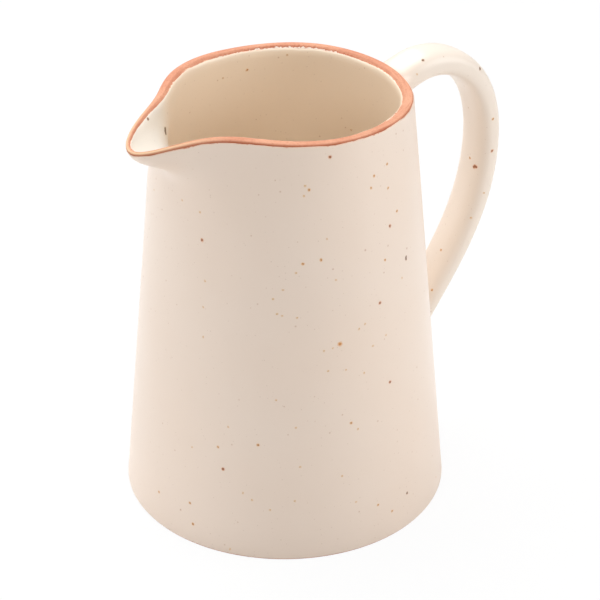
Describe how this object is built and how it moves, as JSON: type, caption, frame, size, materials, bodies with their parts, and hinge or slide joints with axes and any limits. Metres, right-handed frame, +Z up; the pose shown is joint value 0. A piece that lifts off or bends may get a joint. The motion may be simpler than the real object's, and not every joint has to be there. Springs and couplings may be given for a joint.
{
  "type": "jug",
  "caption": "Tapered stoneware jug with a pulled spout, a strap handle luted on below the rim, speckled cream glaze and a bare clay lip and foot.",
  "frame": {"origin": "middle of the flat underside, on the axis of the tapered body", "axes": "+Z up along the body's axis, +X towards the handle, -X towards the spout"},
  "size_m": [0.1779, 0.1298, 0.1758],
  "materials": {
    "cream_glaze": "semi-matte cream glaze with brown iron speckles",
    "bare_clay": "bare fired clay, matt"
  },
  "bodies": {
    "root": {"vessel_wall": "cream_glaze", "rim_band": "bare_clay", "foot_ring": "bare_clay", "base_disc": "cream_glaze", "handle": "cream_glaze", "handle_upper_joint": "cream_glaze", "handle_lower_joint": "cream_glaze"}
  },
  "joints": []
}
